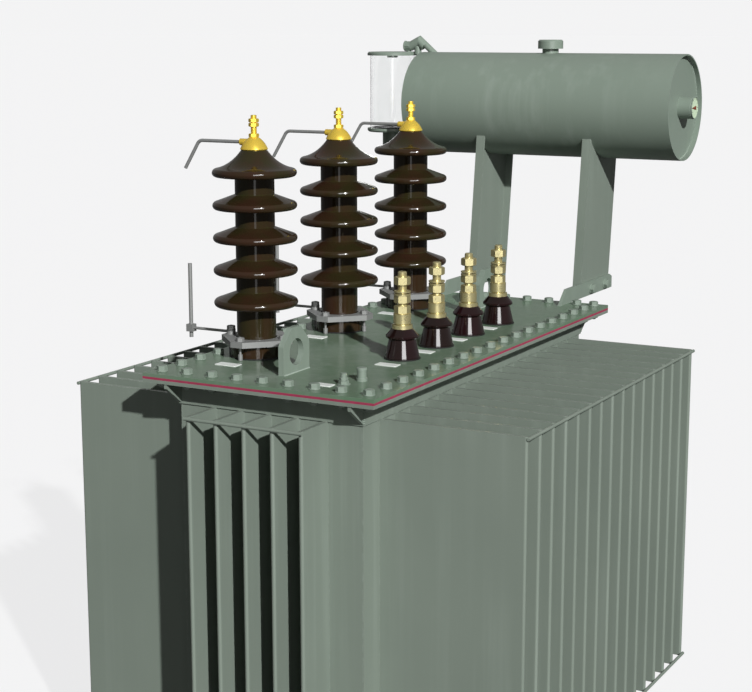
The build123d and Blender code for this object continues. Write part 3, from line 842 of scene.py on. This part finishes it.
# %% [markdown]
# Fifty screws press the cover on its gasket: a hexagon head with a washer above, and a nut with the
# screw's end below the flange. They stand closer together on the short sides, and at the far end the
# outer two give way to the brackets of the drum. One screw is modelled, and the rows are lists of
# places, so the rhythm of the rows is a number and not handwork.

# %% Cover screws
SHORT_SIDE_INSET = 25 * MM
LONG_SIDE_INSET = 22 * MM
SHORT_PITCH = 48.8 * MM
LONG_COUNT = 18
FAR_ROW = (-160, -97.6, -48.8, 0, 48.8, 97.6, 160)
HEAD_WIDTH = 16 * MM
HEAD_HEIGHT = 7.9 * MM
WASHER_HEIGHT = 1.6 * MM
SCREW_RADIUS = 5 * MM
THREAD_PITCH = 1.5 * MM
THREAD_DEPTH = 0.4 * MM

long_y = cover_high.y - LONG_SIDE_INSET
short_x = cover_high.x - SHORT_SIDE_INSET
washer_top = deck + WASHER_HEIGHT
nut_under = flange_under - 8 * MM
screw_end = nut_under - 3 * MM
screw = joined(
    disc(9.8 * MM, deck, washer_top, sides=20, edge=0.4 * MM),
    hexagon(HEAD_WIDTH, washer_top, washer_top + HEAD_HEIGHT),
    hexagon(HEAD_WIDTH, nut_under, flange_under),
    disc(SCREW_RADIUS, screw_end, nut_under, sides=12, edge=0.6 * MM),
    thread(SCREW_RADIUS, screw_end, nut_under, THREAD_PITCH, THREAD_DEPTH, sides=12),
)
spots = [(-short_x, SHORT_PITCH * step) for step in range(-3, 4)]
spots += [(short_x, y * MM) for y in FAR_ROW]
step = 2 * short_x / (LONG_COUNT - 1)
spots += [(-short_x + step * number, side * long_y) for number in range(LONG_COUNT) for side in (-1, 1)]
screws = copied(screw, [Matrix.Translation((x, y, 0)) for x, y in spots])
done(screws, "cover_screws", drum_enamel)

# %% [markdown]
# Each clamp ring is pulled down on its porcelain foot by four studs that stand on the cover, with a
# round foot at the cover and a nut on the ring. The stud on the far side also holds the arm of the lower
# horn, so its nut sits higher. One stud is modelled for each height, and the copies are joined.

# %% Clamp studs
STUD_CIRCLE = 53 * MM
EYE_LIFT = 8.5 * MM
STUD_NUT_WIDTH = 13 * MM
STUD_NUT_HEIGHT = 6.5 * MM
STUD_END = 1 * MM

ring_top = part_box("hv_clamp_ring_1")[1].z


def clamp_stud(seat):
    """A stud on the Z axis whose upper nut rests on a seat at a given height."""
    nut_top = seat + STUD_NUT_HEIGHT
    return joined(
        disc(2.2 * MM, deck, nut_top + STUD_END, sides=16, edge=0.4 * MM),
        disc(4.1 * MM, deck, deck + 11 * MM, sides=20, edge=0.8 * MM),
        hexagon(STUD_NUT_WIDTH, seat, nut_top),
    )


near_arms = [Vector((STUD_CIRCLE, 0, 0)), Vector((-STUD_CIRCLE, 0, 0)), Vector((0, -STUD_CIRCLE, 0))]
far_arm = Vector((0, STUD_CIRCLE, 0))
ring_places = [Matrix.Translation(axis + arm) for axis in hv_axes for arm in near_arms]
eye_places = [Matrix.Translation(axis + far_arm) for axis in hv_axes]
ring_studs = copied(clamp_stud(ring_top), ring_places)
eye_studs = copied(clamp_stud(ring_top + EYE_LIFT), eye_places)
done(joined(ring_studs, eye_studs), "clamp_studs", zinc_steel)

# %% [markdown]
# Under every bushing lies a soft black ring that seals its hole in the cover. Only its squeezed lip
# shows, so a low ring just wider than the foot is enough.

# %% Rubber lips
def lip(inner, outer, height):
    """A rubber ring on the cover, with a rounded outer edge."""
    return ring(inner, outer, deck, deck + height, edge=0.5 * MM)


hv_lips = copied(lip(44 * MM, 47 * MM, 2.2 * MM), hv_places)
lv_lips = copied(lip(29.5 * MM, 32 * MM, 1.8 * MM), lv_places)
done(joined(hv_lips, lv_lips), "rubber_lips", black_rubber)

# %% [markdown]
# Small white plates are fixed beside the bushings and the earth stud. A painted patch would look flat
# from the side, so each plate is a thin block. Its upright edges are rounded first and its upper edges
# after them, both in edit mode.

# %% Bare plates
PLATE_THICKNESS = 1 * MM
HV_PLATE = (22 * MM, 42 * MM)
LV_PLATE = (21.6 * MM, 40 * MM)
EARTH_PLATE = (19 * MM, 35 * MM)
HV_PLATE_STEP = 91 * MM
LV_PLATE_STEP = (63 * MM, 5 * MM)
EARTH_PLATE_PLACE = (-445 * MM, -95 * MM)


def bare_plate(size, x, y):
    """A thin plate with rounded corners that lies on the cover."""
    level = deck + PLATE_THICKNESS / 2
    begin()
    bpy.ops.mesh.primitive_cube_add(size=1, location=(x, y, level), scale=(*size, PLATE_THICKNESS))
    settle(bpy.context.object)
    edit_mode(True)
    pick("EDGE", lambda place: abs(place.z - level) < PLATE_THICKNESS / 10)
    bpy.ops.mesh.bevel(offset=2 * MM, segments=4, affect="EDGES")
    pick("EDGE", lambda place: place.z > level + PLATE_THICKNESS / 3)
    bpy.ops.mesh.bevel(offset=0.2 * MM, segments=1, affect="EDGES")
    edit_mode(False)
    return bpy.context.object


plates = [bare_plate(HV_PLATE, axis.x - HV_PLATE_STEP, axis.y) for axis in hv_axes]
plates += [bare_plate(LV_PLATE, axis.x - LV_PLATE_STEP[0], axis.y - LV_PLATE_STEP[1]) for axis in lv_axes]
plates.append(bare_plate(EARTH_PLATE, *EARTH_PLATE_PLACE))
done(joined(*plates), "bare_plates", plate_white)

# %% [markdown]
# The two flat brackets are bolted to the uprights of the conservator, with the heads outside and the
# nuts inside. A bolt is easiest to model upright, where its levels are plain heights, so it is made on
# the Z axis and its copies are laid on their sides.

# %% Bracket bolts
GRIP = 10 * MM
BOLT_PLACES = (612 * MM, 692 * MM)
BOLT_LIFT = 13 * MM
BOLT_WIDTH = 18 * MM
BOLT_WASHER = 1.8 * MM
NUT_BOTTOM = -GRIP - 9 * MM

bracket_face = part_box("support_brackets")[1].y
side_bolt = joined(
    disc(11 * MM, 0, BOLT_WASHER, sides=20, edge=0.4 * MM),
    hexagon(BOLT_WIDTH, BOLT_WASHER, BOLT_WASHER + 7.5 * MM),
    hexagon(BOLT_WIDTH, NUT_BOTTOM, -GRIP, both_ends=True),
    disc(6 * MM, NUT_BOTTOM - 5 * MM, NUT_BOTTOM, sides=16, edge=0.8 * MM),
)
lying = []
for x in BOLT_PLACES:
    for side in (-1, 1):
        laid = Matrix.Rotation(math.radians(-90 * side), 4, "X")
        lying.append(Matrix.Translation((x, side * bracket_face, deck + BOLT_LIFT)) @ laid)
done(copied(side_bolt, lying), "bracket_bolts", drum_enamel)

# %% [markdown]
# The oil gauge looks out of the near end of the drum. Its face is built lying down, where a turn about
# Z spreads the ticks, and is then stood up on the gauge's body. The ticks and the needle are raised
# strips, so they cast a hair of shadow as printed marks never do.

# %% Strips for the gauge
def bar(length, width, height, start, low, tip=1.0):
    """A flat bar along Y from a given start, whose far end is narrowed to a share of its width."""
    begin()
    bpy.ops.mesh.primitive_cube_add(size=1, location=(0, start + length / 2, low + height / 2),
                                    scale=(width, length, height))
    settle(bpy.context.object)
    edit_mode(True)
    pick("FACE", lambda place, normal: normal.y > 0.9)
    bpy.ops.transform.resize(value=(tip, 1, 1), center_override=(0, start + length, low + height / 2))
    pick("EDGE", lambda place: place.z > low + height * 0.9)
    bpy.ops.mesh.bevel(offset=min(width, height) * 0.2, segments=1, affect="EDGES")
    edit_mode(False)
    return bpy.context.object


print("strips ready")

# %% Oil gauge
BEZEL_WALL = 1.6 * MM
DIAL_TOP = 0.7 * MM
TICK_ANGLES = range(-120, 121, 30)

gauge_low, gauge_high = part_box("level_gauge")
gauge_middle = (gauge_low + gauge_high) / 2
gauge_radius = (gauge_high.x - gauge_low.x) / 2
gauge_front = Matrix.Translation((gauge_middle.x, gauge_low.y, gauge_middle.z))
facing = gauge_front @ Matrix.Rotation(math.radians(90), 4, "X")

bezel = copied(ring(gauge_radius - BEZEL_WALL, gauge_radius, 0, 2 * MM, edge=0.6 * MM), [facing])
done(bezel, "gauge_bezel", drum_enamel)
dial = copied(disc(gauge_radius - 1.5 * MM, 0, DIAL_TOP, sides=48, edge=0.1 * MM), [facing])
done(dial, "gauge_dial", dial_white)
tick = bar(length=3.2 * MM, width=0.8 * MM, height=0.3 * MM, start=16.5 * MM, low=DIAL_TOP)
ticks = copied(tick, [facing @ Matrix.Rotation(math.radians(angle), 4, "Z") for angle in TICK_ANGLES])
done(ticks, "gauge_ticks", black_rubber)
pointer = bar(length=26 * MM, width=8 * MM, height=0.6 * MM, start=-9 * MM, low=1 * MM, tip=0.12)
hub = disc(3 * MM, DIAL_TOP, 2.1 * MM, sides=24, edge=0.3 * MM)
needle = copied(joined(pointer, hub), [facing @ Matrix.Rotation(math.radians(90), 4, "Z")])
done(needle, "gauge_needle", needle_red)

# %% [markdown]
# A hand weld is a row of small overlapping scales. One scale is a flattened ball whose hidden half is
# cut off with bisect, and its copies are laid along the seams. A bump texture is lighter to draw, but
# it leaves the corner between two plates empty, and a real bead fills it.

# %% One scale of a weld
BEAD_WIDTH = 4.6 * MM


def weld_scale(width):
    """One scale of a weld, its flat side down."""
    begin()
    bpy.ops.mesh.primitive_uv_sphere_add(segments=8, ring_count=6, radius=width / 2)
    edit_mode(True)
    bpy.ops.mesh.select_all(action="SELECT")
    bpy.ops.mesh.bisect(plane_co=(0, 0, -width * 0.12), plane_no=(0, 0, 1), use_fill=True, clear_inner=True)
    bpy.ops.mesh.select_all(action="SELECT")
    bpy.ops.transform.resize(value=(0.62, 1, 0.72))
    edit_mode(False)
    return bpy.context.object


print("a scale is", round(BEAD_WIDTH / MM, 1), "mm wide")

# %% Places along a seam
BEAD_PITCH = 3.2 * MM


def standing(place, along, out):
    """The matrix that lays a scale at a place, across a seam, with its back turned outwards."""
    along = along.normalized()
    out = out.normalized()
    turn = Matrix((along, out.cross(along), out)).transposed().to_4x4()
    return Matrix.Translation(place) @ turn


def straight_seam(start, end, out):
    """Places along a straight seam."""
    way = end - start
    count = max(1, round(way.length / BEAD_PITCH))
    return [standing(start + way * (step + 0.5) / count, way, out) for step in range(count)]


def level_seam(start, end, height, out):
    """Places along a level seam between two points that are given by X and Y."""
    return straight_seam(Vector((*start, height)), Vector((*end, height)), Vector(out))


def round_seam(middle, radius, lean):
    """Places round an inner corner about the Y axis, which looks inwards and along Y."""
    count = round(2 * math.pi * radius / BEAD_PITCH)
    spots = []
    for step in range(count):
        angle = 2 * math.pi * step / count
        arm = Vector((math.cos(angle), 0, math.sin(angle)))
        spots.append(standing(middle + arm * radius, Vector((-arm.z, 0, arm.x)), Vector((0, lean, 0)) - arm))
    return spots


print("one scale every", round(BEAD_PITCH / MM, 1), "mm")

# %% [markdown]
# Welds are found where a plate stands on another one: at the feet of the lifting lugs, along the lower
# edge of the collar and up its four corners, and round both ends of the drum.

# %% Weld beads
LUG_WIDTH = 82 * MM
CORNER_GAP = 3 * MM
CORNER_SEAM = 33 * MM
DRUM_SEAM_Y = 294.5 * MM
DRUM_SEAM_RADIUS = 107.5 * MM
collar = Vector((456.5 * MM, 174 * MM, 0))

lug_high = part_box("lifting_lugs")[1]
foot = rim_low.z
seams = []
for side in (-1, 1):
    lug_y = side * lug_high.y
    for end in (-1, 1):
        inner = end * (lug_high.x - LUG_WIDTH)
        seams += level_seam((inner, lug_y), (end * lug_high.x, lug_y), deck, (0, side, 1))
        root = Vector((end * (collar.x + CORNER_GAP), side * (collar.y + CORNER_GAP), foot + CORNER_GAP))
        seams += straight_seam(root, root + Vector((0, 0, CORNER_SEAM)), Vector((end, side, 0)))
    seams += level_seam((-collar.x, side * collar.y), (collar.x, side * collar.y), foot, (0, side, -1))
    seams += level_seam((side * collar.x, -collar.y), (side * collar.x, collar.y), foot, (side, 0, -1))
shell_low, shell_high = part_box("conservator_shell")
shell_middle = (shell_low + shell_high) / 2
for side in (-1, 1):
    seam_middle = Vector((shell_middle.x, side * DRUM_SEAM_Y, shell_middle.z))
    seams += round_seam(seam_middle, DRUM_SEAM_RADIUS, side)
done(copied(weld_scale(BEAD_WIDTH), seams), "weld_beads", drum_enamel)

# %% [markdown]
# The studs that carry a conductor are threaded, and the thread shows where no nut covers it. Each bare
# span is given in millimetres down from the top of its stud, so the threads end where the nuts begin.

# %% Stud threads
HV_STUD_RADIUS = 5 * MM
LV_STUD_RADIUS = 7.5 * MM
STUD_THREAD_DEPTH = 0.45 * MM
HV_SPANS = ((0.8, 5.0), (19.6, 31.1))
LV_SPANS = ((1.6, 9.0), (23.0, 33.5))


def stud_thread(radius, top, spans):
    """Threads on one stud, over spans that are measured downwards from its top."""
    return joined(*[
        thread(radius, top - low * MM, top - high * MM, THREAD_PITCH, STUD_THREAD_DEPTH)
        for high, low in spans
    ])


hv_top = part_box("hv_terminal_1")[1].z
lv_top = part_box("lv_terminal_1")[1].z
hv_threads = copied(stud_thread(HV_STUD_RADIUS, hv_top, HV_SPANS), hv_places)
done(hv_threads, "hv_threads", gold_brass)
lv_threads = copied(stud_thread(LV_STUD_RADIUS, lv_top, LV_SPANS), lv_places)
done(lv_threads, "lv_threads", pale_brass)

# %% [markdown]
# A thermometer pocket is closed by a cap with a milled rim, so that it can be turned by hand. The rim
# is a many sided disc of which every second side is pushed outwards. Beside it stands the earth stud,
# which gets a washer and a thread.

# %% Milled cap and washer
MILLED_SIDES = 40


def milled(radius, low, high):
    """A disc with a milled rim on the Z axis."""
    cap = disc(radius, low, high, sides=MILLED_SIDES, edge=0.3 * MM)
    slice_angle = 2 * math.pi / MILLED_SIDES
    edit_mode(True)
    pick("FACE", lambda place, normal: abs(normal.z) < 0.1
         and int(math.atan2(place.y, place.x) / slice_angle + 2 * MILLED_SIDES) % 2 == 0)
    bpy.ops.mesh.inset(thickness=0.1 * MM, depth=0.4 * MM, use_individual=True)
    edit_mode(False)
    return cap


pocket_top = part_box("thermometer_pocket")[1].z
earth_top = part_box("earth_terminal")[1].z
pocket_place = Matrix.Translation(axis_of("thermometer_pocket"))
earth_place = Matrix.Translation(axis_of("earth_terminal"))
cap = copied(milled(7.9 * MM, pocket_top - 4 * MM, pocket_top + 1 * MM), [pocket_place])
washer = copied(ring(7 * MM, 11 * MM, deck, deck + 1.4 * MM, edge=0.4 * MM), [earth_place])
earth_thread = thread(SCREW_RADIUS, deck + 12 * MM, earth_top - 0.5 * MM, THREAD_PITCH, THREAD_DEPTH)
earth_thread = copied(earth_thread, [earth_place])
done(joined(cap, washer, earth_thread), "cover_fittings", drum_enamel)

# %% [markdown]
# Through the glass of the breather one sees the hub that holds it to the upper disc, and a dark dish
# that lies in the lower one. The dish starts as a disc. Its upper face is inset and moved down.

# %% Inside of the breather
glass_low, glass_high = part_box("breather_glass")
glass_radius = (glass_high.x - glass_low.x) / 2
breather_place = Matrix.Translation(axis_of("breather_glass"))
hub = disc(12 * MM, glass_high.z - 5 * MM, glass_high.z, sides=32, edge=1 * MM)
done(copied(hub, [breather_place]), "breather_hub", drum_enamel)
dish = disc(glass_radius - 4 * MM, glass_low.z, glass_low.z + 3 * MM, sides=40, edge=0.8 * MM)
edit_mode(True)
pick("FACE", lambda place, normal: normal.z > 0.9)
bpy.ops.mesh.inset(thickness=2.5 * MM, depth=0)
bpy.ops.transform.translate(value=(0, 0, -1.2 * MM))
edit_mode(False)
done(copied(dish, [breather_place]), "breather_dish", black_rubber)

# %% [markdown]
# The plain view transform keeps each tone as it was mixed, so the pale backdrop and the enamel come out
# as they were chosen.

# %% Look of the picture
scene.view_settings.view_transform = "Standard"
print("view transform", scene.view_settings.view_transform)

# %% End
print("the scene is built")
